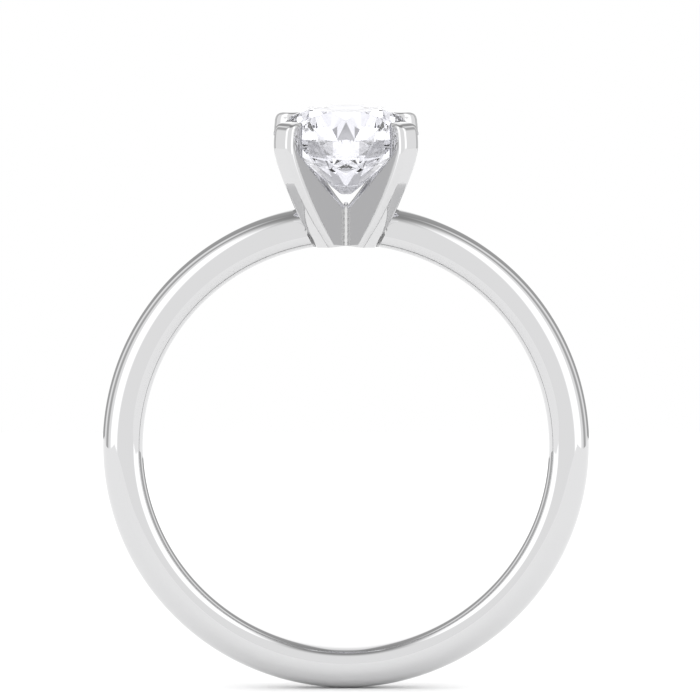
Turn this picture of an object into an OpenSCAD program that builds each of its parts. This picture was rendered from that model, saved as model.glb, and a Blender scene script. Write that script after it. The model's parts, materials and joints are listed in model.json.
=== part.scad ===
// Four-prong solitaire ring: a plain open band, a crossed two-fork head and a round brilliant.
// Millimetres. Origin at the centre of the finger hole, Y along the finger, Z up to the stone.

/* [Finger hole] */
// Inside diameter of the band (US size 6)
bore_d = 16.5; // [15:0.1:19]
// Length of the plain cylindrical land inside the band
land_w = 0.6; // [0.4:0.1:1]

/* [Band] */
// Width of the band along the finger
band_w = 1.8; // [1.6:0.05:2.4]
// Thickness of the band between the finger and the outside
band_t = 1.65; // [1.4:0.05:2]

/* [Stone] */
// Diameter of the stone at its girdle
stone_d = 5.9; // [5.7:0.05:6]
// Table width as a share of the stone's diameter
table_share = 0.545; // [0.52:0.005:0.6]
// Slope of the main crown facets in degrees
crown_deg = 36; // [33:0.5:37]
// Slope of the main pavilion facets in degrees
pavilion_deg = 41; // [40:0.25:42]
// Thickness of the girdle
girdle_t = 0.12; // [0.08:0.01:0.2]
// Height of the girdle's lower edge above the centre of the finger hole
girdle_z = 12.69; // [12.6:0.01:12.8]

/* [Head] */
// Thickness of each fork, which is the width of its prongs
prong_t = 1; // [0.95:0.05:1.1]
// Lean of the prongs from upright in degrees
prong_lean = 30.6; // [30.2:0.1:31]
// Distance of the prongs' outer face from the stone's axis at the girdle
prong_r = 3.77; // [3.72:0.01:3.82]
// Height at which the prongs' outer face stands upright
prong_upright_z = 12.52; // [12.4:0.01:12.6]
// Height of the prong tips
prong_top_z = 13.43; // [13.4:0.01:13.5]
// Width taken off the prongs' outer edges
prong_round = 0.23; // [0.1:0.01:0.25]
// Gap of solder between the band's ends and the forks
solder_gap = 0.05; // [0.03:0.01:0.08]

/* [Hidden] */

bore_r = bore_d / 2;
band_r = bore_r + band_t;
dome_r = band_w / 2;
dome_mid_r = band_r - dome_r;
edge_r = dome_r - land_w / 2;
stone_r = stone_d / 2;
table_r = stone_r * table_share;
crown_h = (stone_r - table_r) * tan(crown_deg);
girdle_top_z = girdle_z + girdle_t;
table_z = girdle_top_z + crown_h;
culet_r = 0.2;
culet_z = girdle_z - (stone_r - culet_r) * tan(pavilion_deg);
half_turn = 22.5;

// The outer face of a prong: a straight lean, then an arc that ends upright.
lean_arc_r = 2.085;
lean_end_r = prong_r - lean_arc_r * (1 - cos(prong_lean));
lean_end_z = prong_upright_z - lean_arc_r * sin(prong_lean);
head_foot_z = 7.9;
head_foot_r = lean_end_r - (lean_end_z - head_foot_z) * tan(prong_lean);
edge_cut = prong_round * (sqrt(2) - 1);
tip_arc_r = 0.42;
tip_swell = 0.04;

// The open vee between the prongs is a cone standing on its point.
vee_point_z = 9.08;
vee_rise = 1;
lap_z = 8.68;
corner_r = prong_t / sqrt(2);

// A claw narrows from the full prong to a rounded nose over the stone's edge.
claw_nose_r = 2.68;
claw_root_r = prong_r - prong_round;
claw_len = claw_root_r - claw_nose_r;
claw_side_r = (pow(prong_t / 2, 2) + pow(claw_len, 2)) / prong_t;
claw_low_z = 11.72;
claw_seat_z = 12.3;
claw_round = 0.12;
stone_clear = 0.01;

metal = [0.80, 0.80, 0.81];
solder = [0.72, 0.72, 0.72];
far = 30;
fine = 96;

// Points along an arc of radius r about (x, y), from angle a to angle b.
function arc(x, y, r, a, b, n) = [
    for (i = [0 : n]) let (t = a + (b - a) * i / n) [x + r * cos(t), y + r * sin(t)]
];

// Half section of the band: a domed outside, a land inside and rounded edges.
module band_section() {
    intersection() {
        translate([dome_mid_r, 0]) circle(r = dome_r, $fn = fine);
        translate([dome_mid_r, -dome_r]) square([dome_r, band_w]);
    }
    translate([bore_r + edge_r, -dome_r]) square([dome_mid_r - bore_r - edge_r, band_w]);
    translate([bore_r, -land_w / 2]) square([edge_r, land_w]);
    for (side = [-1, 1]) intersection() {
        translate([bore_r + edge_r, side * land_w / 2]) circle(r = edge_r, $fn = fine);
        translate([bore_r, side > 0 ? 0 : -dome_r]) square([edge_r, dome_r]);
    }
}

module band_ring() {
    rotate([90, 0, 0]) rotate_extrude($fn = fine) band_section();
}

// Outline of one prong in its own upright plane, grown by g. Inside it stops at the stone's axis.
function prong_outline(g) = concat(
    [[0, head_foot_z], [head_foot_r + g, head_foot_z]],
    arc(prong_r - lean_arc_r, prong_upright_z, lean_arc_r + g, -prong_lean, 0, 10),
    arc(prong_r - tip_swell - tip_arc_r, prong_top_z - tip_arc_r, tip_arc_r + g, 0, 90, 8),
    [[0, prong_top_z + g]]
);

// Outline of the head seen along X or Y, where the prongs' outer edges are taken off.
function head_outline(g) = [
    for (p = prong_outline(g)) [p[0] <= 0 ? 0 : (p[0] + prong_t / 2) / sqrt(2) + g - edge_cut, p[1]]
];

// A plate through the head along one diagonal: both prongs of a fork before the vee is cut.
module plate(turn, g) {
    intersection() {
        rotate([0, 0, turn]) rotate([90, 0, 0]) translate([0, 0, -prong_t / 2 - g])
            linear_extrude(height = prong_t + 2 * g)
                for (side = [0, 1]) mirror([side, 0]) polygon(prong_outline(g));
        intersection_for (view = [0, 90])
            rotate([90, 0, view]) linear_extrude(height = far, center = true)
                for (side = [0, 1]) mirror([side, 0]) polygon(head_outline(g));
    }
}

module vee_cone() {
    reach = prong_top_z + 1 - vee_point_z;
    translate([0, 0, vee_point_z]) cylinder(h = reach, r1 = 0, r2 = reach * vee_rise, $fn = fine);
}

// The claws of one fork: the prong outline above the vee, narrowed to a rounded nose.
module claws(turn) {
    claw_outline = [
        [claw_root_r, claw_low_z - claw_round * 2],
        [claw_nose_r - claw_round * 2, claw_low_z],
        [claw_nose_r, claw_seat_z],
        [claw_nose_r, prong_top_z - claw_round],
        [claw_nose_r + claw_round, prong_top_z],
        [claw_root_r, prong_top_z]
    ];
    for (side = [0, 180]) intersection() {
        plate(turn, 0);
        rotate([0, 0, turn + side]) rotate([90, 0, 0]) translate([0, 0, -prong_t / 2])
            linear_extrude(height = prong_t) polygon(claw_outline);
        rotate([0, 0, turn + side]) intersection_for (edge = [-1, 1])
            translate([claw_root_r, edge * (claw_side_r - prong_t / 2), 0])
                cylinder(h = prong_top_z + 1, r = claw_side_r, $fn = fine);
    }
}

// Space kept for the stone: its smooth outline with a little clearance.
module stone_space() {
    g = stone_clear;
    rotate_extrude($fn = fine) polygon([
        [0, culet_z - g],
        [culet_r, culet_z - g],
        [stone_r + g, girdle_z - g],
        [stone_r + g, girdle_top_z + g],
        [table_r, table_z + g],
        [table_r, table_z + 1],
        [0, table_z + 1]
    ]);
}

module finger_hole() {
    rotate([90, 0, 0]) cylinder(h = far, r = bore_r, center = true, $fn = fine);
}

// One fork: a bent bar with a prong at each end, notched where it crosses the other fork.
module fork(turn, keep_low) {
    notch_z = keep_low ? lap_z : head_foot_z;
    notch_h = keep_low ? prong_top_z - lap_z : lap_z - head_foot_z;
    difference() {
        union() {
            difference() {
                plate(turn, 0);
                vee_cone();
            }
            claws(turn);
        }
        finger_hole();
        stone_space();
        rotate([0, 0, turn]) translate([-prong_t / 2, -prong_t, notch_z])
            cube([prong_t, 2 * prong_t, notch_h]);
    }
}

module fork_lower() {
    color(metal) fork(45, true);
}

module fork_upper() {
    color(metal) fork(-45, false);
}

// What the head takes out of the band: both plates, grown by g, and the space in front and behind.
module head_space(g) {
    plate(45, g);
    plate(-45, g);
    translate([-corner_r, -band_w, 0]) cube([2 * corner_r, 2 * band_w, band_r + 1]);
}

module shank() {
    color(metal) difference() {
        band_ring();
        head_space(solder_gap);
    }
}

// Solder between one end of the band and the two prongs that hold it.
module head_solder(side) {
    color(solder) difference() {
        intersection() {
            band_ring();
            union() {
                plate(45, solder_gap);
                plate(-45, solder_gap);
            }
            translate([side > 0 ? 0 : -far, -far / 2, 0]) cube([far, far, far]);
        }
        head_space(0);
    }
}

module head_solder_left() {
    head_solder(-1);
}

module head_solder_right() {
    head_solder(1);
}

// A beaded run of solder down the corner where two prongs meet, in front or behind.
module corner_solder(side) {
    run_r = 0.08;
    bead_r = 0.1;
    bead_step = 0.24;
    run_y = corner_r + 0.07;
    run_h = 1.8;
    color(solder) difference() {
        intersection() {
            union() {
                translate([0, side * run_y, bore_r - run_r]) cylinder(h = run_h, r = run_r, $fn = 32);
                for (i = [0 : run_h / bead_step])
                    translate([0, side * run_y, bore_r + bead_r + i * bead_step])
                        sphere(r = bead_r, $fn = 32);
            }
            linear_extrude(height = far)
                polygon([[0, side * corner_r], [1, side * (corner_r + 1)], [-1, side * (corner_r + 1)]]);
        }
        finger_hole();
        vee_cone();
    }
}

module corner_solder_front() {
    corner_solder(-1);
}

module corner_solder_back() {
    corner_solder(1);
}

// Eight flat facets round the stone: an octagonal pyramid whose faces lean at slope, point along
// turn, and pass at distance r from the axis at height z. It spans from z_wide to z_slim.
module facets(r, z, slope, turn, z_wide, z_slim) {
    r_wide = r + abs(z - z_wide) / tan(slope);
    r_slim = max(r - abs(z_slim - z) / tan(slope), 0.001);
    low = min(z_wide, z_slim);
    rotate([0, 0, turn + half_turn]) translate([0, 0, low]) cylinder(
        h = abs(z_slim - z_wide),
        r1 = (low == z_wide ? r_wide : r_slim) / cos(half_turn),
        r2 = (low == z_wide ? r_slim : r_wide) / cos(half_turn),
        $fn = 8);
}

// A round brilliant: table, 8 stars, 8 mains, 16 upper halves, girdle, 16 lower halves, 8 mains and
// a small flat culet. The half facets and stars slope so that their tips meet the mains in points.
module center_stone() {
    half_facet_r = stone_r * cos(half_turn / 2);
    over = 0.05;
    star_tip_r = 2.15;
    star_tip_rise = (stone_r - star_tip_r * cos(half_turn)) * tan(crown_deg);
    star_deg = atan((table_z - girdle_top_z - star_tip_rise) / (star_tip_r - table_r * cos(half_turn)));
    upper_half_deg = atan(star_tip_rise / (half_facet_r - star_tip_r * cos(half_turn / 2)));
    lower_tip_r = 0.59;
    lower_tip_drop = (stone_r - lower_tip_r * cos(half_turn)) * tan(pavilion_deg);
    lower_half_deg = atan(lower_tip_drop / (half_facet_r - lower_tip_r * cos(half_turn / 2)));
    color([0.95, 0.97, 1]) intersection() {
        translate([0, 0, culet_z]) cylinder(h = table_z - culet_z, r = stone_r, $fn = fine);
        facets(stone_r, girdle_top_z, crown_deg, half_turn, culet_z, table_z + over);
        facets(table_r * cos(half_turn), table_z, star_deg, 0, culet_z, table_z + over);
        intersection_for (shift = [-half_turn / 2, half_turn / 2])
            facets(half_facet_r, girdle_top_z, upper_half_deg, shift, culet_z, table_z + over);
        facets(stone_r, girdle_z, pavilion_deg, half_turn, table_z, culet_z - over);
        intersection_for (shift = [-half_turn / 2, half_turn / 2])
            facets(half_facet_r, girdle_z, lower_half_deg, shift, table_z, culet_z - over);
    }
}

shank();
fork_lower();
fork_upper();
head_solder_left();
head_solder_right();
corner_solder_front();
corner_solder_back();
center_stone();
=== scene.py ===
import json
import math

import bmesh
import bpy
from bpy.props import FloatProperty, FloatVectorProperty, IntProperty, PointerProperty
from bpy.types import Operator, Panel, PropertyGroup
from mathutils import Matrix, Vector


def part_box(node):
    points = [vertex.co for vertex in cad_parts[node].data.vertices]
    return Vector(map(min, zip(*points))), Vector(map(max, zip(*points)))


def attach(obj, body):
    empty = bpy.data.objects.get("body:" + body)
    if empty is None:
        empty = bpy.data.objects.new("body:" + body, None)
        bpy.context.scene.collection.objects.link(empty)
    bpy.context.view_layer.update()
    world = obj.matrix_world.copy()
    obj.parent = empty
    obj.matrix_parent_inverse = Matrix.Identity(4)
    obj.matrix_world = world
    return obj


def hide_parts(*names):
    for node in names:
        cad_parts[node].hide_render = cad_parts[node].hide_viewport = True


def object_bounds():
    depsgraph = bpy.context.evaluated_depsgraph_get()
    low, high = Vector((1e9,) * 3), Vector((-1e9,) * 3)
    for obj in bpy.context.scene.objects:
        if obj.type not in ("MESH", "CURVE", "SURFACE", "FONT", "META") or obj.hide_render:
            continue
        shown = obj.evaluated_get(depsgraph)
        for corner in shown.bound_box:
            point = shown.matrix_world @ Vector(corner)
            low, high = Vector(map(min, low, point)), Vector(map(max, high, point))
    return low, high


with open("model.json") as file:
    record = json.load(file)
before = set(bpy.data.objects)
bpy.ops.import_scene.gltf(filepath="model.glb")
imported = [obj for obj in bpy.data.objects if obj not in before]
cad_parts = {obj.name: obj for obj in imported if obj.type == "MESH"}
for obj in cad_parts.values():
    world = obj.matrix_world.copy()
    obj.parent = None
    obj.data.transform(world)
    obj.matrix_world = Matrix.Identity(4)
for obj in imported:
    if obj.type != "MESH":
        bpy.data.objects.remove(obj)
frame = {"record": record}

bl_info = {
    "name": "Solitaire Ring",
    "version": (1, 0, 0),
    "blender": (4, 5, 0),
    "location": "View3D > Sidebar > Solitaire Ring",
    "description": "Builds a plain domed ring with a crossed prong head and a round brilliant stone",
    "category": "Add Mesh",
}

CAD_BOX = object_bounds()
MM = 0.001
MERGE = 1e-7
CLEARANCE = 0.01 * MM
BORE_R = frame["record"]["mounts"][0]["dims"]["r_mm"] * MM
BAND_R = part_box("shank")[1].x
BAND_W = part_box("shank")[1].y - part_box("shank")[0].y
HEAD_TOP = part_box("fork_upper")[1].z
STONE_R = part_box("center_stone")[1].x
TABLE_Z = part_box("center_stone")[1].z
HALF_FACET = math.pi / 8


class BandSizes(PropertyGroup):
    bore_radius: FloatProperty(
        name="Finger hole", description="Radius of the finger hole",
        default=BORE_R, unit="LENGTH")
    outer_radius: FloatProperty(
        name="Outside", description="Radius of the band's outside",
        default=BAND_R, unit="LENGTH")
    width: FloatProperty(
        name="Width", description="Width of the band along the finger",
        default=BAND_W, unit="LENGTH")
    land: FloatProperty(
        name="Land", description="Width of the flat strip that touches the finger",
        default=0.6 * MM, unit="LENGTH")
    steps: IntProperty(
        name="Steps", description="Steps of the band's half turn",
        default=180)


class HeadSizes(PropertyGroup):
    thickness: FloatProperty(
        name="Thickness", description="Thickness of both forks",
        default=1.0 * MM, unit="LENGTH")
    lean: FloatProperty(
        name="Lean", description="Angle at which the prongs start to lean below their upright part",
        default=math.radians(19.8), subtype="ANGLE")
    reach: FloatProperty(
        name="Reach", description="Distance from the middle to the outside of a prong",
        default=3.77 * MM, unit="LENGTH")
    upright_height: FloatProperty(
        name="Upright from", description="Height at which the prongs stand upright",
        default=12.52 * MM, unit="LENGTH")
    bend_length: FloatProperty(
        name="Bend", description="Height over which the prongs pass from upright to the lean",
        default=0.4 * MM, unit="LENGTH")
    sweep_radius: FloatProperty(
        name="Sweep", description="Radius of the slow curve of the leaning part",
        default=9.26 * MM, unit="LENGTH")
    foot_height: FloatProperty(
        name="Foot", description="Height of the blank's foot, before the finger hole is cut",
        default=7.9 * MM, unit="LENGTH")
    vee_height: FloatProperty(
        name="Vee", description="Height of the point of the cone between the prongs",
        default=9.08 * MM, unit="LENGTH")
    lap_height: FloatProperty(
        name="Lap", description="Height of the half-lap joint between the forks",
        default=8.68 * MM, unit="LENGTH")
    edge_round: FloatProperty(
        name="Edge round", description="Rounding of the prongs' outer edges",
        default=0.23 * MM, unit="LENGTH")
    vee_round: FloatProperty(
        name="Vee round", description="Rounding of the edges inside the vee",
        default=0.2 * MM, unit="LENGTH")
    tip_round: FloatProperty(
        name="Tip round", description="Rounding of the outside of a claw's top",
        default=0.42 * MM, unit="LENGTH")
    tip_swell: FloatProperty(
        name="Tip swell", description="Distance by which a claw draws in at the top",
        default=0.04 * MM, unit="LENGTH")
    nose_radius: FloatProperty(
        name="Nose", description="Distance from the middle to the tip of a claw",
        default=2.68 * MM, unit="LENGTH")
    nose_round: FloatProperty(
        name="Nose round", description="Rounding of a claw's top edges over the stone",
        default=0.16 * MM, unit="LENGTH")


class SolderSizes(PropertyGroup):
    film: FloatProperty(
        name="Film", description="Thickness of the solder between band and head",
        default=0.05 * MM, unit="LENGTH")
    groove: FloatProperty(
        name="Groove", description="Depth of the solder below the band's surface",
        default=0.03 * MM, unit="LENGTH")
    run_radius: FloatProperty(
        name="Run", description="Mean radius of the beaded run in a corner of the head",
        default=0.1 * MM, unit="LENGTH")
    bead_step: FloatProperty(
        name="Bead step", description="Distance from one bead to the next",
        default=0.24 * MM, unit="LENGTH")
    bead_swell: FloatProperty(
        name="Bead swell", description="Height of the beads above the run",
        default=0.012 * MM, unit="LENGTH")
    run_height: FloatProperty(
        name="Run height", description="Height of the beaded run",
        default=1.62 * MM, unit="LENGTH")


class StoneSizes(PropertyGroup):
    radius: FloatProperty(
        name="Radius", description="Radius of the stone's girdle",
        default=STONE_R, unit="LENGTH")
    table_radius: FloatProperty(
        name="Table", description="Distance from the middle to a corner of the table",
        default=STONE_R * 0.545, unit="LENGTH")
    crown_angle: FloatProperty(
        name="Crown", description="Slope of the crown's main facets",
        default=math.radians(36), subtype="ANGLE")
    pavilion_angle: FloatProperty(
        name="Pavilion", description="Slope of the pavilion's main facets",
        default=math.radians(41), subtype="ANGLE")
    girdle_height: FloatProperty(
        name="Girdle from", description="Height of the girdle's lower edge",
        default=12.69 * MM, unit="LENGTH")
    girdle_thickness: FloatProperty(
        name="Girdle", description="Thickness of the girdle",
        default=0.12 * MM, unit="LENGTH")
    star_tip: FloatProperty(
        name="Star tip", description="Distance from the middle to a star facet's tip",
        default=2.15 * MM, unit="LENGTH")
    lower_tip: FloatProperty(
        name="Lower tip", description="Distance from the middle to a lower half facet's tip",
        default=0.59 * MM, unit="LENGTH")
    culet_radius: FloatProperty(
        name="Culet", description="Radius of the small flat at the stone's point",
        default=0.2 * MM, unit="LENGTH")


class RingFinish(PropertyGroup):
    metal: FloatVectorProperty(
        name="White gold", description="Colour of the polished metal",
        default=(0.60, 0.60, 0.605), subtype="COLOR", min=0, max=1)
    solder: FloatVectorProperty(
        name="Solder", description="Colour of the solder",
        default=(0.62, 0.62, 0.62), subtype="COLOR", min=0, max=1)
    stone: FloatVectorProperty(
        name="Stone", description="Body colour of the stone",
        default=(0.9, 0.9, 0.96), subtype="COLOR", min=0, max=1)


class Studio(PropertyGroup):
    floor_width: FloatProperty(
        name="Floor width", description="Width of the pale floor",
        default=0.19, unit="LENGTH")
    floor_front: FloatProperty(
        name="Floor front", description="How far the floor reaches in front of the ring",
        default=0.06, unit="LENGTH")
    floor_back: FloatProperty(
        name="Floor back", description="How far the floor reaches behind the ring",
        default=0.094, unit="LENGTH")
    camera_distance: FloatProperty(
        name="Camera distance", description="Distance from the camera to the ring",
        default=1.2, unit="LENGTH")
    camera_height: FloatProperty(
        name="Camera height", description="Angle of the camera above the horizon",
        default=math.radians(6.15), subtype="ANGLE")
    view_width: FloatProperty(
        name="View width", description="Width of the view at the ring",
        default=28.48 * MM, unit="LENGTH")
    aim_side: FloatProperty(
        name="Aim side", description="How far the view's middle lies to the right of the ring's",
        default=0.163 * MM, unit="LENGTH")
    aim_height: FloatProperty(
        name="Aim height", description="How far the view's middle lies above the finger hole's",
        default=3.89 * MM, unit="LENGTH")


def deselect():
    bpy.ops.object.select_all(action="DESELECT")


def edit():
    bpy.ops.object.mode_set(mode="EDIT")


def leave_edit():
    bpy.ops.object.mode_set(mode="OBJECT")


def pick_faces(test):
    """Selects the faces of the mesh being edited whose middle passes the test."""
    mesh = bmesh.from_edit_mesh(bpy.context.edit_object.data)
    bpy.ops.mesh.select_mode(type="FACE")
    bpy.ops.mesh.select_all(action="DESELECT")
    for face in mesh.faces:
        if test(face.calc_center_median()):
            face.select_set(True)
    mesh.select_flush_mode()
    bmesh.update_edit_mesh(bpy.context.edit_object.data)


def pick_points(test):
    """Selects the points of the mesh being edited that pass the test."""
    mesh = bmesh.from_edit_mesh(bpy.context.edit_object.data)
    bpy.ops.mesh.select_mode(type="VERT")
    bpy.ops.mesh.select_all(action="DESELECT")
    for point in mesh.verts:
        point.select_set(test(point.co))
    mesh.select_flush_mode()
    bmesh.update_edit_mesh(bpy.context.edit_object.data)


def merge_and_face_out():
    bpy.ops.mesh.select_all(action="SELECT")
    bpy.ops.mesh.remove_doubles(threshold=MERGE)
    bpy.ops.mesh.normals_make_consistent(inside=False)


def slice_off(point, normal):
    """Cuts the selected faces with a plane and drops what lies on the side of its normal."""
    bpy.ops.mesh.bisect(
        plane_co=point, plane_no=normal, use_fill=True, clear_outer=True, threshold=MERGE)


def grow_rings(name, rings):
    """A closed solid through rings of points: the first is placed, the rest are extruded from it."""
    bpy.ops.mesh.primitive_circle_add(vertices=len(rings[0]), radius=MM)
    edit()
    mesh = bmesh.from_edit_mesh(bpy.context.edit_object.data)
    ring = list(mesh.verts)
    for level, points in enumerate(rings):
        if level:
            bpy.ops.mesh.extrude_edges_indiv()
            ring = [
                next(e.other_vert(v) for e in v.link_edges if e.other_vert(v).select)
                for v in ring]
        for vert, point in zip(ring, points):
            vert.co = point
        if level == 0:
            bpy.ops.mesh.edge_face_add()
            mesh.faces.ensure_lookup_table()
            bpy.ops.mesh.select_mode(type="EDGE")
    bmesh.update_edit_mesh(bpy.context.edit_object.data)
    bpy.ops.mesh.edge_face_add()
    merge_and_face_out()
    leave_edit()
    bpy.context.object.name = name
    return bpy.context.object


def cut(piece, tool, operation="DIFFERENCE"):
    """Applies a Boolean of one solid on another and deletes the tool."""
    deselect()
    piece.select_set(True)
    bpy.context.view_layer.objects.active = piece
    boolean = piece.modifiers.new("Cut", "BOOLEAN")
    boolean.object = tool
    boolean.operation = operation
    boolean.solver = "EXACT"
    bpy.ops.object.modifier_apply(modifier=boolean.name)
    deselect()
    tool.select_set(True)
    bpy.ops.object.delete()
    piece.select_set(True)
    bpy.context.view_layer.objects.active = piece


def smooth(piece, angle=math.radians(32)):
    """Smooth shading, with edges sharper than the angle left crisp."""
    deselect()
    piece.select_set(True)
    bpy.context.view_layer.objects.active = piece
    bpy.ops.object.shade_smooth_by_angle(angle=angle)


def finish_piece(piece, material, node):
    """Applies the piece's place, paints it and puts it on the ring in place of its CAD node."""
    deselect()
    piece.select_set(True)
    bpy.context.view_layer.objects.active = piece
    bpy.ops.object.transform_apply(location=True, rotation=True, scale=True)
    piece.data.materials.clear()
    piece.data.materials.append(material)
    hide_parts(node)
    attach(piece, "root")


def join_node(tree, kind, **sockets):
    """A new shader node whose named input sockets are set or linked."""
    node = tree.nodes.new(kind)
    for name, value in sockets.items():
        set_socket(tree, node.inputs[name.replace("_", " ")], value)
    return node


def set_socket(tree, socket, value):
    if isinstance(value, bpy.types.NodeSocket):
        tree.links.new(value, socket)
    else:
        socket.default_value = value


def math_node(tree, operation, *values):
    node = tree.nodes.new("ShaderNodeMath")
    node.operation = operation
    for socket, value in zip(node.inputs, values):
        set_socket(tree, socket, value)
    return node.outputs[0]


def polish_group():
    """Fine lines and cloudy patches that a polishing wheel leaves, as roughness, colour and height."""
    name = "Wheel polish"
    if name in bpy.data.node_groups:
        return bpy.data.node_groups[name]
    group = bpy.data.node_groups.new(name, "ShaderNodeTree")
    face = group.interface
    for label, kind, value in (
            ("Along", "NodeSocketVector", None), ("Line Scale", "NodeSocketFloat", 900.0),
            ("Smoothest", "NodeSocketFloat", 0.02), ("Roughest", "NodeSocketFloat", 0.06),
            ("Metal", "NodeSocketColor", None), ("Worn Metal", "NodeSocketColor", None)):
        socket = face.new_socket(label, in_out="INPUT", socket_type=kind)
        if value is not None:
            socket.default_value = value
    for label, kind in (
            ("Color", "NodeSocketColor"), ("Roughness", "NodeSocketFloat"), ("Height", "NodeSocketFloat")):
        face.new_socket(label, in_out="OUTPUT", socket_type=kind)
    start = group.nodes.new("NodeGroupInput")
    end = group.nodes.new("NodeGroupOutput")
    lines = join_node(group, "ShaderNodeTexNoise", Vector=start.outputs["Along"],
                      Scale=start.outputs["Line Scale"], Detail=3.0, Roughness=0.6)
    clouds = join_node(group, "ShaderNodeTexNoise", Vector=start.outputs["Along"],
                       Scale=240.0, Detail=2.0, Roughness=0.5)
    mixed = math_node(group, "MULTIPLY", lines.outputs["Fac"], clouds.outputs["Fac"])
    spread = group.nodes.new("ShaderNodeMapRange")
    for label, value in (("Value", mixed), ("From Min", 0.12), ("From Max", 0.42),
                         ("To Min", start.outputs["Smoothest"]), ("To Max", start.outputs["Roughest"])):
        set_socket(group, spread.inputs[label], value)
    tint = group.nodes.new("ShaderNodeMix")
    tint.data_type = "RGBA"
    set_socket(group, tint.inputs["Factor"], clouds.outputs["Fac"])
    set_socket(group, tint.inputs["A"], start.outputs["Metal"])
    set_socket(group, tint.inputs["B"], start.outputs["Worn Metal"])
    group.links.new(tint.outputs["Result"], end.inputs["Color"])
    group.links.new(spread.outputs["Result"], end.inputs["Roughness"])
    group.links.new(lines.outputs["Fac"], end.inputs["Height"])
    return group


def new_material(name):
    material = bpy.data.materials.new(name)
    material.use_nodes = True
    return material, material.node_tree, material.node_tree.nodes["Principled BSDF"]


def polished_metal(name, colour, along, line_scale=900.0, bump=0.0000004):
    """Polished metal. along turns Object coordinates into ones that follow the polishing."""
    material, tree, shader = new_material(name)
    place = tree.nodes.new("ShaderNodeTexCoord").outputs["Object"]
    polish = tree.nodes.new("ShaderNodeGroup")
    polish.node_tree = polish_group()
    set_socket(tree, polish.inputs["Along"], along(tree, place))
    polish.inputs["Line Scale"].default_value = line_scale
    polish.inputs["Metal"].default_value = (*colour, 1)
    polish.inputs["Worn Metal"].default_value = (*(c * 0.985 for c in colour), 1)
    tree.links.new(polish.outputs["Color"], shader.inputs["Base Color"])
    tree.links.new(polish.outputs["Roughness"], shader.inputs["Roughness"])
    grain = join_node(tree, "ShaderNodeBump", Distance=bump, Height=polish.outputs["Height"])
    tree.links.new(grain.outputs["Normal"], shader.inputs["Normal"])
    shader.inputs["Metallic"].default_value = 1.0
    return material


def along_band(tree, place):
    """Coordinates that change little round the ring: distance from its axis, place along it."""
    axes = tree.nodes.new("ShaderNodeSeparateXYZ")
    tree.links.new(place, axes.inputs[0])
    squares = math_node(
        tree, "ADD", math_node(tree, "POWER", axes.outputs["X"], 2.0),
        math_node(tree, "POWER", axes.outputs["Z"], 2.0))
    out = tree.nodes.new("ShaderNodeCombineXYZ")
    tree.links.new(math_node(tree, "SQRT", squares), out.inputs["X"])
    tree.links.new(axes.outputs["Y"], out.inputs["Y"])
    tree.links.new(math_node(tree, "MULTIPLY", axes.outputs["Z"], 0.03), out.inputs["Z"])
    return out.outputs["Vector"]


def along_prongs(tree, place):
    """Coordinates that change little up the prongs."""
    stretch = tree.nodes.new("ShaderNodeMapping")
    tree.links.new(place, stretch.inputs["Vector"])
    stretch.inputs["Scale"].default_value = (1, 1, 0.08)
    return stretch.outputs["Vector"]


def as_placed(tree, place):
    return place


def band_metal(finish):
    return polished_metal("Polished white gold band", finish.metal, along_band)


def head_metal(finish):
    name = "Polished white gold head"
    return bpy.data.materials.get(name) or polished_metal(name, finish.metal, along_prongs)


def solder_metal(finish):
    name = "White gold solder"
    return bpy.data.materials.get(name) or polished_metal(
        name, finish.solder, as_placed, line_scale=5000.0, bump=0.000002)


def cut_diamond(finish, stone):
    """Clear faceted stone with a lightly frosted girdle."""
    material, tree, shader = new_material("Brilliant cut stone")
    place = tree.nodes.new("ShaderNodeTexCoord").outputs["Object"]
    axes = tree.nodes.new("ShaderNodeSeparateXYZ")
    tree.links.new(place, axes.inputs[0])
    low = math_node(tree, "GREATER_THAN", axes.outputs["Z"], stone.girdle_height)
    high = math_node(
        tree, "LESS_THAN", axes.outputs["Z"], stone.girdle_height + stone.girdle_thickness)
    grains = join_node(tree, "ShaderNodeTexNoise", Vector=place, Scale=9000.0, Detail=2.0)
    frost = math_node(
        tree, "MULTIPLY", math_node(tree, "MULTIPLY", low, high),
        math_node(tree, "MULTIPLY", grains.outputs["Fac"], 0.12))
    tree.links.new(frost, shader.inputs["Roughness"])
    shader.inputs["Base Color"].default_value = (*finish.stone, 1)
    shader.inputs["IOR"].default_value = 2.417
    shader.inputs["Transmission Weight"].default_value = 1.0
    return material


class RING_OT_shank(Operator):
    """Builds the open domed band"""
    bl_idname = "ring.shank"
    bl_label = "Shank"

    def execute(self, context):
        scene = context.scene
        shank = half_band(scene.ring_band, 0.0)
        shank.name = "Shank"
        cut(shank, head_space(scene.ring_head, scene.ring_solder))
        mirror_across(shank, 0)
        smooth(shank)
        finish_piece(shank, band_metal(scene.ring_finish), "shank")
        return {"FINISHED"}


# How far the head's corner beside the band moves out for each step up.
CORNER_LEAN = 0.5
# The cutting block reaches past the band at the back, at the sides, below and above.
BLOCK_REACH = 3 * MM
BLOCK_BELOW = 0.75 * MM
BLOCK_ABOVE = MM


def corner_reach(head, z):
    """How far the head's corner beside the band reaches out at a height."""
    foot = (prong_outside(head, BORE_R) + head.thickness / 2) / math.sqrt(2)
    return foot + CLEARANCE + CORNER_LEAN * (z - BORE_R)


def head_space(head, solder):
    """What the band's right end leaves free: a wedge between the prongs, and the head's corners."""
    tip = head.thickness / math.sqrt(2) + solder.film * math.sqrt(2)
    back, wide = BLOCK_REACH, BLOCK_REACH
    rings = []
    for z in (BORE_R - BLOCK_BELOW, BAND_R + BLOCK_ABOVE):
        corner = corner_reach(head, z)
        outline = (
            (-back, -wide), (corner, -wide), (corner, tip - corner), (tip, 0),
            (corner, corner - tip), (corner, wide), (-back, wide))
        rings.append([Vector((x, y, z)) for x, y in outline])
    deselect()
    return grow_rings("Head space", rings)


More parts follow.
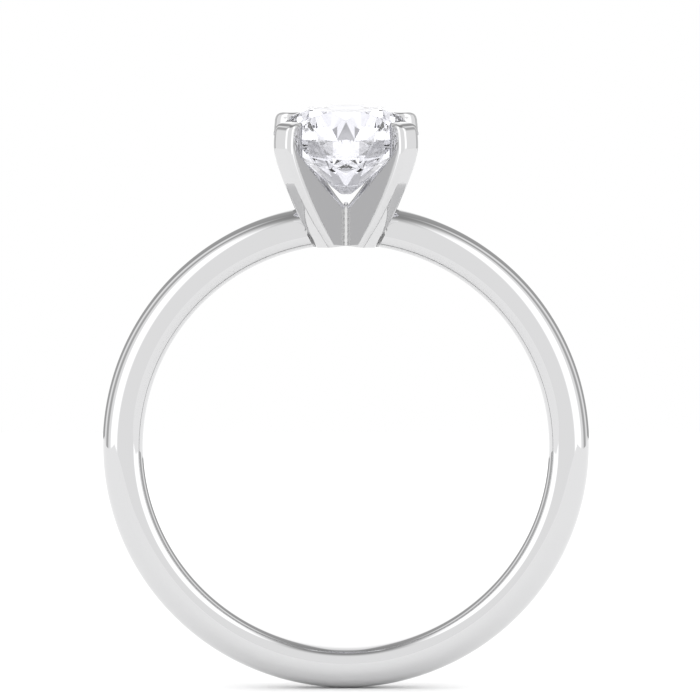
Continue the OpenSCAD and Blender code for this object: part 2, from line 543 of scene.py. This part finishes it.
def half_band(band, inset):
    """The band's right half: its section, inset all round, spun from the bottom past the top."""
    past_top = math.radians(4)
    thick = band.outer_radius - band.bore_radius
    middle = (band.outer_radius + band.bore_radius) / 2
    inner_round = (band.width - band.land) / 2
    deselect()
    bpy.ops.mesh.primitive_plane_add(size=1, location=(0, 0, -middle), rotation=(0, math.pi / 2, 0))
    edit()
    bpy.ops.transform.resize(value=(1, band.width, thick), center_override=(0, 0, -middle))
    bpy.ops.mesh.delete(type="ONLY_FACE")
    leave_edit()
    bpy.ops.object.transform_apply(location=True, rotation=True, scale=True)
    edit()
    pick_points(lambda p: p.z < -middle)
    bpy.ops.mesh.bevel(
        offset=band.width / 2, offset_type="OFFSET", segments=20, profile=0.5, affect="VERTICES")
    pick_points(lambda p: p.z > -band.bore_radius - MERGE)
    bpy.ops.mesh.bevel(
        offset=inner_round, offset_type="OFFSET", segments=14, profile=0.5, affect="VERTICES")
    bpy.ops.mesh.select_all(action="SELECT")
    bpy.ops.mesh.remove_doubles(threshold=MERGE)
    if inset:
        keep = 1 - 2 * inset / thick
        bpy.ops.transform.resize(value=(1, keep, keep), center_override=(0, 0, -middle))
    bpy.ops.mesh.spin(
        steps=band.steps, angle=math.pi + past_top, center=(0, 0, 0), axis=(0, 1, 0))
    merge_and_face_out()
    leave_edit()
    return bpy.context.object


def mirror_across(piece, axis):
    """Mirrors a half piece about the middle and joins the halves."""
    deselect()
    piece.select_set(True)
    bpy.context.view_layer.objects.active = piece
    bpy.ops.object.transform_apply(location=True, rotation=True, scale=True)
    mirror = piece.modifiers.new("Mirror", "MIRROR")
    mirror.use_axis = [axis == i for i in range(3)]
    mirror.merge_threshold = MERGE
    bpy.ops.object.modifier_apply(modifier=mirror.name)
    edit()
    merge_and_face_out()
    leave_edit()


def drawn_in(depth, radius):
    """How far a rounded edge draws in at a depth below its top."""
    if depth >= radius:
        return 0.0
    return radius - math.sqrt(max(radius ** 2 - (radius - depth) ** 2, 0.0))


def soft_lower(a, b, blend):
    """The lower of two values, rounded where they cross."""
    share = min(max(0.5 + 0.5 * (b - a) / blend, 0.0), 1.0)
    return b + (a - b) * share - blend * share * (1 - share)


def prong_outside(head, z):
    """Distance from the middle to a prong's outer face at a height."""
    if z < head.upright_height:
        drop = head.upright_height - z
        eased = drop - head.bend_length * (1 - math.exp(-drop / head.bend_length))
        return head.reach - eased * math.tan(head.lean) - drop ** 2 / (2 * head.sweep_radius)
    swell_end = HEAD_TOP - head.tip_round
    up = min((z - head.upright_height) / (swell_end - head.upright_height), 1.0)
    return head.reach - head.tip_swell * up * up - drawn_in(HEAD_TOP - z, head.tip_round)


NOSE_FULLNESS = 2.3
CORNER_STEPS = 8
INNER_STEPS = 28
# Points this far beside the corners keep the flat sides flat.
KEEP_FLAT = 0.02 * MM
NOSE_INSET = 0.05 * MM
NOSE_BLEND = 0.12 * MM
VEE_EASE = 0.2
RIM_STEPS = 14
RIM_END = 1.01
LEAN_STEP, LEAN_STEPS = 0.1 * MM, 20
CLAW_STEP, CLAW_STEPS = 0.05 * MM, 99
TIP_MARGIN = 0.02 * MM
TIP_STEPS = 16
BORE_CUT_STEPS = 720
BORE_CUT_LENGTH = 10 * MM
STONE_CUT_STEPS = 256


def prong_inside(head, z, across, half_width):
    """Distance from the middle to a prong's inside: the vee's cone or the claw's nose."""
    cone_r = max(z - head.vee_height, 0.0)
    round_share = min(max((cone_r - head.thickness / 2) / (VEE_EASE * head.thickness), 0.0), 1.0)
    corner = head.vee_round * round_share
    into_corner = max(abs(across) - (half_width - corner), 0.0) / corner if corner else 0.0
    cone = math.sqrt(max(cone_r ** 2 - across ** 2, 0.0))
    cone += corner * (1 - math.sqrt(max(1 - into_corner ** 2, 0.0)))
    root = min(head.reach, prong_outside(head, z)) - head.edge_round - NOSE_INSET
    tip = head.nose_radius + drawn_in(HEAD_TOP - z, head.nose_round)
    share = min(abs(across) / half_width, 1.0)
    nose = root - (root - tip) * (1 - share ** NOSE_FULLNESS) ** (1 / NOSE_FULLNESS)
    return max(soft_lower(cone, nose, NOSE_BLEND), 0.0) if cone_r > head.thickness else cone


def prong_ring(head, z):
    """Points round one prong at a height, for a prong that points along X."""
    half = head.thickness / 2 - drawn_in(HEAD_TOP - z, head.nose_round)
    outside = prong_outside(head, z)
    middle = outside - head.edge_round
    side = [Vector((outside, half - head.edge_round - KEEP_FLAT, z))]
    for step in range(CORNER_STEPS + 1):
        turn = math.pi / 2 * step / CORNER_STEPS
        side.append(Vector((
            middle + head.edge_round * math.cos(turn),
            half - head.edge_round + head.edge_round * math.sin(turn), z)))
    side.append(Vector((middle - KEEP_FLAT, half, z)))
    side.append(Vector((prong_inside(head, z, half, half) + KEEP_FLAT, half, z)))
    inside = []
    for step in range(INNER_STEPS + 1):
        across = half * math.cos(math.pi * step / INNER_STEPS)
        inside.append(Vector((prong_inside(head, z, across, half), across, z)))
    other_side = [Vector((p.x, -p.y, z)) for p in reversed(side)]
    return side + inside + other_side


def prong_levels(head):
    """Heights of a prong's rings, closer together where its shape changes faster."""
    half = head.thickness / 2
    rim = [
        head.vee_height + half * math.sin(math.pi / 2 * i / RIM_STEPS) for i in range(RIM_STEPS)]
    rim.append(head.vee_height + RIM_END * half)
    lean = [rim[-1] + LEAN_STEP * i for i in range(1, LEAN_STEPS + 1)]
    claw = [lean[-1] + CLAW_STEP * i for i in range(1, CLAW_STEPS + 1)]
    claw = [z for z in claw if z < HEAD_TOP - head.tip_round - TIP_MARGIN]
    top = [
        HEAD_TOP - head.tip_round * (1 - math.sin(math.pi / 2 * i / TIP_STEPS))
        for i in range(TIP_STEPS + 1)]
    return [head.foot_height, *rim, *lean, *claw, *top]


class RING_OT_forks(Operator):
    """Builds both forks of the head, crossed and half-lapped"""
    bl_idname = "ring.forks"
    bl_label = "Head forks"

    def execute(self, context):
        scene = context.scene
        head = scene.ring_head
        deselect()
        blank = grow_rings("Fork_lower", [prong_ring(head, z) for z in prong_levels(head)])
        edit()
        pick_faces(lambda middle: middle.x < MERGE)
        bpy.ops.mesh.delete(type="FACE")
        leave_edit()
        mirror_across(blank, 0)
        bpy.ops.object.duplicate()
        upper = context.object
        upper.name = "Fork_upper"
        notches = (
            (blank, math.radians(45), head.lap_height, HEAD_TOP, "fork_lower"),
            (upper, math.radians(-45), head.foot_height, head.lap_height, "fork_upper"))
        for fork, turn, low, high, node in notches:
            fork.rotation_euler.z = turn
            deselect()
            middle = (low + high) / 2
            bpy.ops.mesh.primitive_cube_add(size=1, location=(0, 0, middle), rotation=(0, 0, turn))
            box = context.object
            grow = 0 if node == "fork_lower" else MM
            box.scale = (head.thickness, 2 * head.thickness, high - low + grow)
            box.location.z -= grow / 2
            cut(fork, box)
            deselect()
            bpy.ops.mesh.primitive_cylinder_add(
                vertices=BORE_CUT_STEPS, radius=scene.ring_band.bore_radius,
                depth=BORE_CUT_LENGTH, rotation=(math.pi / 2, 0, 0))
            cut(fork, context.object)
            cut(fork, stone_space(scene.ring_stone))
            edit()
            merge_and_face_out()
            leave_edit()
            smooth(fork)
            finish_piece(fork, head_metal(scene.ring_finish), node)
        return {"FINISHED"}


def stone_space(stone):
    """The stone's smooth outline with a little clearance, turned round the middle."""
    gap = CLEARANCE
    girdle_top = stone.girdle_height + stone.girdle_thickness
    culet_drop = (stone.radius - stone.culet_radius) * math.tan(stone.pavilion_angle)
    outline = (
        (stone.culet_radius, stone.girdle_height - culet_drop - gap),
        (stone.radius + gap, stone.girdle_height - gap),
        (stone.radius + gap, girdle_top + gap),
        (stone.table_radius, TABLE_Z + gap))
    rings = [
        [Vector((r * math.cos(turn), r * math.sin(turn), z))
         for turn in (2 * math.pi * i / STONE_CUT_STEPS for i in range(STONE_CUT_STEPS))]
        for r, z in outline]
    deselect()
    return grow_rings("Stone space", rings)


class RING_OT_head_solder(Operator):
    """Builds the solder films between the band's ends and the head"""
    bl_idname = "ring.head_solder"
    bl_label = "Head solder"

    def execute(self, context):
        scene = context.scene
        solder = scene.ring_solder
        inner = scene.ring_head.thickness / math.sqrt(2)
        outer = inner + solder.film * math.sqrt(2)
        for name, node, side in (
                ("Head_solder_right", "head_solder_right", 1),
                ("Head_solder_left", "head_solder_left", -1)):
            film = half_band(scene.ring_band, solder.groove)
            film.name = name
            edit()
            bpy.ops.mesh.select_all(action="SELECT")
            bpy.ops.mesh.fill_holes(sides=0)
            for point, normal in (
                    ((0, 0, BORE_R * 0.9), (0, 0, -1)), ((0, 0, 0), (0, -1, 0)),
                    ((inner, 0, 0), (-1, 1, 0)), ((outer, 0, 0), (1, -1, 0)),
                    ((corner_reach(scene.ring_head, 0), 0, 0), (1, 0, -CORNER_LEAN))):
                bpy.ops.mesh.select_all(action="SELECT")
                slice_off(point, normal)
            pick_faces(lambda middle: abs(middle.y) < MERGE)
            bpy.ops.mesh.delete(type="ONLY_FACE")
            leave_edit()
            mirror_across(film, 1)
            if side < 0:
                film.scale.x = -1
                bpy.ops.object.transform_apply(scale=True)
                edit()
                merge_and_face_out()
                leave_edit()
            smooth(film)
            finish_piece(film, solder_metal(scene.ring_finish), node)
        return {"FINISHED"}


class RING_OT_corner_solder(Operator):
    """Builds the beaded solder runs in the front and back corners of the head"""
    bl_idname = "ring.corner_solder"
    bl_label = "Corner solder"

    def execute(self, context):
        scene = context.scene
        solder = scene.ring_solder
        corner = scene.ring_head.thickness / math.sqrt(2)
        away = corner + 0.75 * solder.run_radius
        low = scene.ring_band.bore_radius + 2 * CLEARANCE
        steps = 96
        for name, node, side in (
                ("Corner_solder_front", "corner_solder_front", -1),
                ("Corner_solder_back", "corner_solder_back", 1)):
            rings = []
            for step in range(steps + 1):
                up = solder.run_height * step / steps
                wave = math.cos(2 * math.pi * up / solder.bead_step)
                radius = solder.run_radius + solder.bead_swell * wave
                end = min(up, solder.run_height - up)
                radius -= drawn_in(end, solder.run_radius * 0.9)
                rings.append([
                    Vector((radius * math.cos(turn), side * away + radius * math.sin(turn), low + up))
                    for turn in (2 * math.pi * i / 24 for i in range(24))])
            deselect()
            run = grow_rings(name, rings)
            edit()
            for across in (-1, 1):
                bpy.ops.mesh.select_all(action="SELECT")
                slice_off((0, side * corner, 0), (across, -side, 0))
            merge_and_face_out()
            leave_edit()
            smooth(run)
            finish_piece(run, solder_metal(scene.ring_finish), node)
        return {"FINISHED"}


class RING_OT_center_stone(Operator):
    """Cuts the round brilliant stone, facet by facet"""
    bl_idname = "ring.center_stone"
    bl_label = "Centre stone"

    def execute(self, context):
        scene = context.scene
        stone = scene.ring_stone
        girdle_top = stone.girdle_height + stone.girdle_thickness
        culet = stone.girdle_height - (stone.radius - stone.culet_radius) * math.tan(stone.pavilion_angle)
        deselect()
        bpy.ops.mesh.primitive_cylinder_add(
            vertices=192, radius=stone.radius, depth=TABLE_Z - culet,
            location=(0, 0, (TABLE_Z + culet) / 2))
        gem = context.object
        gem.name = "Centre_stone"
        edit()
        half_r = stone.radius * math.cos(HALF_FACET / 2)
        table_side = stone.table_radius * math.cos(HALF_FACET)
        star_rise = (stone.radius - stone.star_tip * math.cos(HALF_FACET)) * math.tan(stone.crown_angle)
        star_slope = (TABLE_Z - girdle_top - star_rise) / (stone.star_tip - table_side)
        upper_slope = star_rise / (half_r - stone.star_tip * math.cos(HALF_FACET / 2))
        lower_drop = (stone.radius - stone.lower_tip * math.cos(HALF_FACET)) * math.tan(stone.pavilion_angle)
        lower_slope = lower_drop / (half_r - stone.lower_tip * math.cos(HALF_FACET / 2))
        girdle_low = stone.girdle_height
        rows = (
            (8, 0.5, stone.radius, girdle_top, math.tan(stone.crown_angle), 1),
            (8, 0.0, table_side, TABLE_Z, star_slope, 1),
            (16, 0.5, half_r, girdle_top, upper_slope, 1),
            (8, 0.5, stone.radius, girdle_low, math.tan(stone.pavilion_angle), -1),
            (16, 0.5, half_r, girdle_low, lower_slope, -1))
        for count, shift, radius, height, slope, up in rows:
            for index in range(count):
                turn = 2 * math.pi * (index + shift) / count
                bpy.ops.mesh.select_all(action="SELECT")
                slice_off(
                    (radius * math.cos(turn), radius * math.sin(turn), height),
                    (slope * math.cos(turn), slope * math.sin(turn), up))
        merge_and_face_out()
        leave_edit()
        bpy.ops.object.shade_flat()
        finish_piece(gem, cut_diamond(scene.ring_finish, stone), "center_stone")
        return {"FINISHED"}


# Plain walls with one pair of softboxes and one pair of dark flags, mirrored left and right:
# degrees round from the camera, half width in degrees, and brightness.
WALL = 1.2
WALL_PANELS = {
    "Softbox": (60, 15, 1.8),
    "Dark flag": (105, 5, 0.6),
    "Back flag": (150, 15, 0.5),
}
PANEL_EDGE = 8
OVERHEAD = 0.4
OVERHEAD_START, OVERHEAD_END = 50, 75
EVEN_LIGHT = 1.45
FLOOR_TONES = (0.88, 0.90)


# Sockets of a Mix node that is set to colour.
MIX_A, MIX_B, MIX_RESULT = 6, 7, 2


def blend_between(tree, value, start, end, below, above):
    """Passes smoothly from one colour to another as a value rises between two others."""
    blend = tree.nodes.new("ShaderNodeMapRange")
    blend.interpolation_type = "SMOOTHSTEP"
    set_socket(tree, blend.inputs["Value"], value)
    blend.inputs["From Min"].default_value = start
    blend.inputs["From Max"].default_value = end
    mix = tree.nodes.new("ShaderNodeMix")
    mix.data_type = "RGBA"
    set_socket(tree, mix.inputs["Factor"], blend.outputs["Result"])
    set_socket(tree, mix.inputs[MIX_A], below)
    set_socket(tree, mix.inputs[MIX_B], above)
    return mix.outputs[MIX_RESULT]


def grey(brightness):
    """A neutral colour of a brightness."""
    return (brightness, brightness, brightness, 1)


def studio_world():
    """White to the camera, even light to the floor, and soft neutral walls to the metal and stone."""
    world = bpy.data.worlds.new("Studio")
    world.use_nodes = True
    tree = world.node_tree
    background = tree.nodes["Background"]
    output = tree.nodes["World Output"]
    axes = tree.nodes.new("ShaderNodeSeparateXYZ")
    tree.links.new(tree.nodes.new("ShaderNodeTexCoord").outputs["Generated"], axes.inputs[0])
    x, y, z = axes.outputs
    front = math_node(tree, "MULTIPLY", y, -1.0)
    to_degrees = 180 / math.pi
    round_from_camera = math_node(
        tree, "MULTIPLY", math_node(tree, "ARCTAN2", math_node(tree, "ABSOLUTE", x), front), to_degrees)
    height = math_node(tree, "MULTIPLY", math_node(tree, "ARCSINE", z), to_degrees)
    walls = grey(WALL)
    for at, half_width, brightness in WALL_PANELS.values():
        away = math_node(tree, "ABSOLUTE", math_node(tree, "SUBTRACT", round_from_camera, float(at)))
        walls = blend_between(
            tree, away, half_width, half_width + PANEL_EDGE, grey(brightness), walls)
    room = blend_between(tree, height, OVERHEAD_START, OVERHEAD_END, walls, grey(OVERHEAD))
    tree.links.new(room, background.inputs["Color"])
    background.inputs["Strength"].default_value = 1.0
    light = tree.nodes.new("ShaderNodeLightPath")
    even = join_node(tree, "ShaderNodeBackground", Color=(1, 1, 1, 1), Strength=EVEN_LIGHT)
    backdrop = join_node(tree, "ShaderNodeBackground", Color=(1, 1, 1, 1), Strength=1.0)
    shown = background
    for ray, other in (("Is Diffuse Ray", even), ("Is Camera Ray", backdrop)):
        choose = tree.nodes.new("ShaderNodeMixShader")
        tree.links.new(light.outputs[ray], choose.inputs["Fac"])
        tree.links.new(shown.outputs[0], choose.inputs[1])
        tree.links.new(other.outputs[0], choose.inputs[2])
        shown = choose
    tree.links.new(shown.outputs[0], output.inputs["Surface"])
    world.cycles.sampling_method = "NONE"
    return world


class RING_OT_studio(Operator):
    """Sets the pale floor, the soft light and the camera"""
    bl_idname = "ring.studio"
    bl_label = "Studio"

    def execute(self, context):
        scene = context.scene
        studio = scene.ring_studio
        deselect()
        ground = CAD_BOX[0].z - CLEARANCE
        depth = studio.floor_front + studio.floor_back
        bpy.ops.mesh.primitive_plane_add(
            size=1, location=(0, (studio.floor_back - studio.floor_front) / 2, ground))
        floor = context.object
        floor.name = "Studio_floor"
        floor.scale = (studio.floor_width, depth, 1)
        material, tree, shader = new_material("Pale floor")
        place = tree.nodes.new("ShaderNodeTexCoord").outputs["Object"]
        mottle = join_node(tree, "ShaderNodeTexNoise", Vector=place, Scale=300.0, Detail=2.0)
        tone = tree.nodes.new("ShaderNodeMapRange")
        set_socket(tree, tone.inputs["Value"], mottle.outputs["Fac"])
        tone.inputs["To Min"].default_value, tone.inputs["To Max"].default_value = FLOOR_TONES
        tree.links.new(tone.outputs["Result"], shader.inputs["Base Color"])
        shader.inputs["Roughness"].default_value = 1.0
        shader.inputs["Specular IOR Level"].default_value = 0.0
        floor.data.materials.append(material)

        scene.world = studio_world()
        scene.view_settings.view_transform = "Standard"
        scene.cycles.max_bounces = 24
        scene.cycles.transmission_bounces = 24
        scene.cycles.glossy_bounces = 16

        deselect()
        bpy.ops.object.camera_add()
        camera = context.object
        camera.name = "Camera"
        lean = studio.camera_height
        back = Vector((0, -math.cos(lean), math.sin(lean)))
        up = Vector((0, math.sin(lean), math.cos(lean)))
        aim = Vector((studio.aim_side, 0, 0)) + up * studio.aim_height
        camera.location = aim + back * studio.camera_distance
        camera.rotation_euler = (math.pi / 2 - lean, 0, 0)
        camera.data.sensor_width = 36
        camera.data.lens = camera.data.sensor_width * studio.camera_distance / studio.view_width
        camera.data.clip_start = 0.01
        camera.data.clip_end = 10
        scene.camera = camera
        return {"FINISHED"}


class RING_PT_build(Panel):
    """Lists the steps that build the ring"""
    bl_idname = "RING_PT_build"
    bl_label = "Solitaire Ring"
    bl_space_type = "VIEW_3D"
    bl_region_type = "UI"
    bl_category = "Solitaire Ring"

    def draw(self, context):
        for operator in OPERATORS:
            self.layout.operator(operator.bl_idname)
        for name in SETTINGS:
            box = self.layout.box()
            group = getattr(context.scene, name)
            for prop in group.bl_rna.properties:
                if prop.identifier not in ("rna_type", "name"):
                    box.prop(group, prop.identifier)


SETTINGS = {
    "ring_band": BandSizes,
    "ring_head": HeadSizes,
    "ring_solder": SolderSizes,
    "ring_stone": StoneSizes,
    "ring_finish": RingFinish,
    "ring_studio": Studio,
}
OPERATORS = (
    RING_OT_shank, RING_OT_forks, RING_OT_head_solder, RING_OT_corner_solder,
    RING_OT_center_stone, RING_OT_studio)
CLASSES = (*SETTINGS.values(), *OPERATORS, RING_PT_build)


def register():
    for cls in CLASSES:
        bpy.utils.register_class(cls)
    for name, group in SETTINGS.items():
        setattr(bpy.types.Scene, name, PointerProperty(type=group))


def unregister():
    for name in SETTINGS:
        delattr(bpy.types.Scene, name)
    for cls in reversed(CLASSES):
        bpy.utils.unregister_class(cls)


def main():
    register()
    bpy.ops.ring.shank()
    bpy.ops.ring.forks()
    bpy.ops.ring.head_solder()
    bpy.ops.ring.corner_solder()
    bpy.ops.ring.center_stone()
    bpy.ops.ring.studio()


if __name__ == "__main__":
    main()
